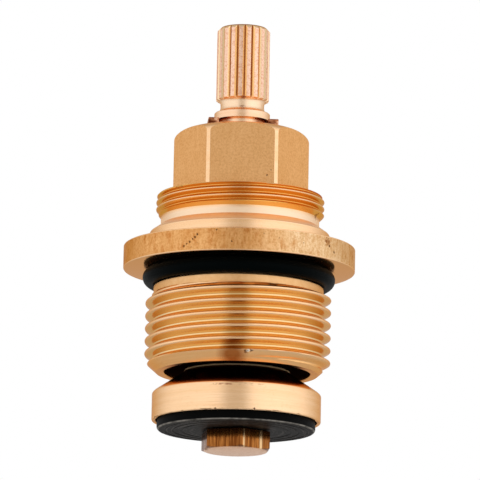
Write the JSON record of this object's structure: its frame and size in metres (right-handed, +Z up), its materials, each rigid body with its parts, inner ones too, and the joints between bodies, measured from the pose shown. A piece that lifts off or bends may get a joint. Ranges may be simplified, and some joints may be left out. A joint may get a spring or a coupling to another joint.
{
  "type": "tap headwork",
  "caption": "Tap headwork: flanged bonnet with a hexed head and two outer threads, splined non-rising spindle, and a sliding valve carrier with a screwed-on rubber washer.",
  "frame": {"origin": "on the spindle's axis, in the plane of the flange's underside, where the headwork seats on the tap body", "axes": "+Z up the spindle towards its splined end, -Y out of the flat of the hexed head that faces the viewer"},
  "size_m": [0.033, 0.033, 0.0614],
  "materials": {
    "bonnet_brass": "machined",
    "spindle_brass": "machined",
    "carrier_brass": "machined",
    "screw_brass": "machined",
    "clip_bronze": "rolled bronze strip",
    "oring_rubber": "satin",
    "washer_rubber": "moulded",
    "thrust_plastic": "turned acetal"
  },
  "bodies": {
    "bonnet": {"bonnet": "bonnet_brass", "flange_oring": "oring_rubber", "thrust_washer": "thrust_plastic"},
    "spindle": {"spindle": "spindle_brass", "retaining_clip": "clip_bronze", "spindle_oring_upper": "oring_rubber", "spindle_oring_lower": "oring_rubber"},
    "valve": {"valve_carrier": "carrier_brass", "carrier_oring": "oring_rubber", "tap_washer": "washer_rubber", "washer_screw": "screw_brass"}
  },
  "joints": [
    {"name": "spindle_turn", "type": "hinge", "parent": "bonnet", "child": "spindle", "pos_m": [0, 0, 0], "axis": [0, 0, 1], "range_deg": [-659, 350]},
    {"name": "valve_slide", "type": "slide", "parent": "bonnet", "child": "valve", "axis": [0, 0, 1], "range_m": [-0.0032, 0.0017]}
  ],
  "couplings": [
    {"joint": "spindle_turn", "follows": "valve_slide", "rad_per_m": 3590.4}
  ]
}
